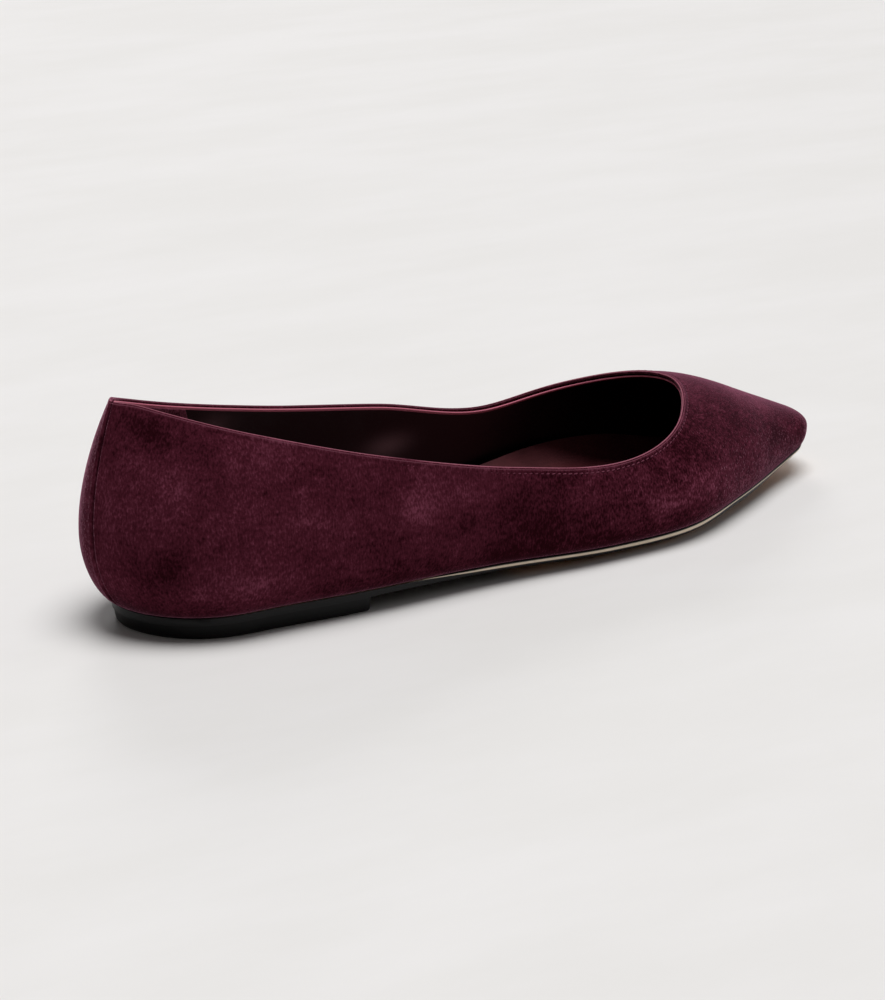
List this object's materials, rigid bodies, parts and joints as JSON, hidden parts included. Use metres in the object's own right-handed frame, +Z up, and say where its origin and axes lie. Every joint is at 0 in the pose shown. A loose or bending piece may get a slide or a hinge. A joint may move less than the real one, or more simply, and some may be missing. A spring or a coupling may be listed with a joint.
{
  "type": "ballet flat",
  "caption": "Pointed-toe suede ballet flat for the right foot, with a low cut collar, thin leather outsole and a low heel lift.",
  "frame": {"origin": "middle of the shoe's footprint box, on the ground plane", "axes": "+X towards the toe, +Y towards the inner side of the foot, +Z up"},
  "size_m": [0.262, 0.0738, 0.0617],
  "materials": {
    "suede": "brushed wine-red suede, matt, with a soft nap",
    "insole_leather": "smooth dark wine leather sock, low sheen",
    "sole_leather": "natural leather, edge left natural at the forefoot and inked black at waist and heel",
    "heel_black": "black, satin"
  },
  "bodies": {
    "root": {"upper": "suede", "insole": "insole_leather", "outsole": "sole_leather", "heel": "heel_black"}
  },
  "joints": []
}
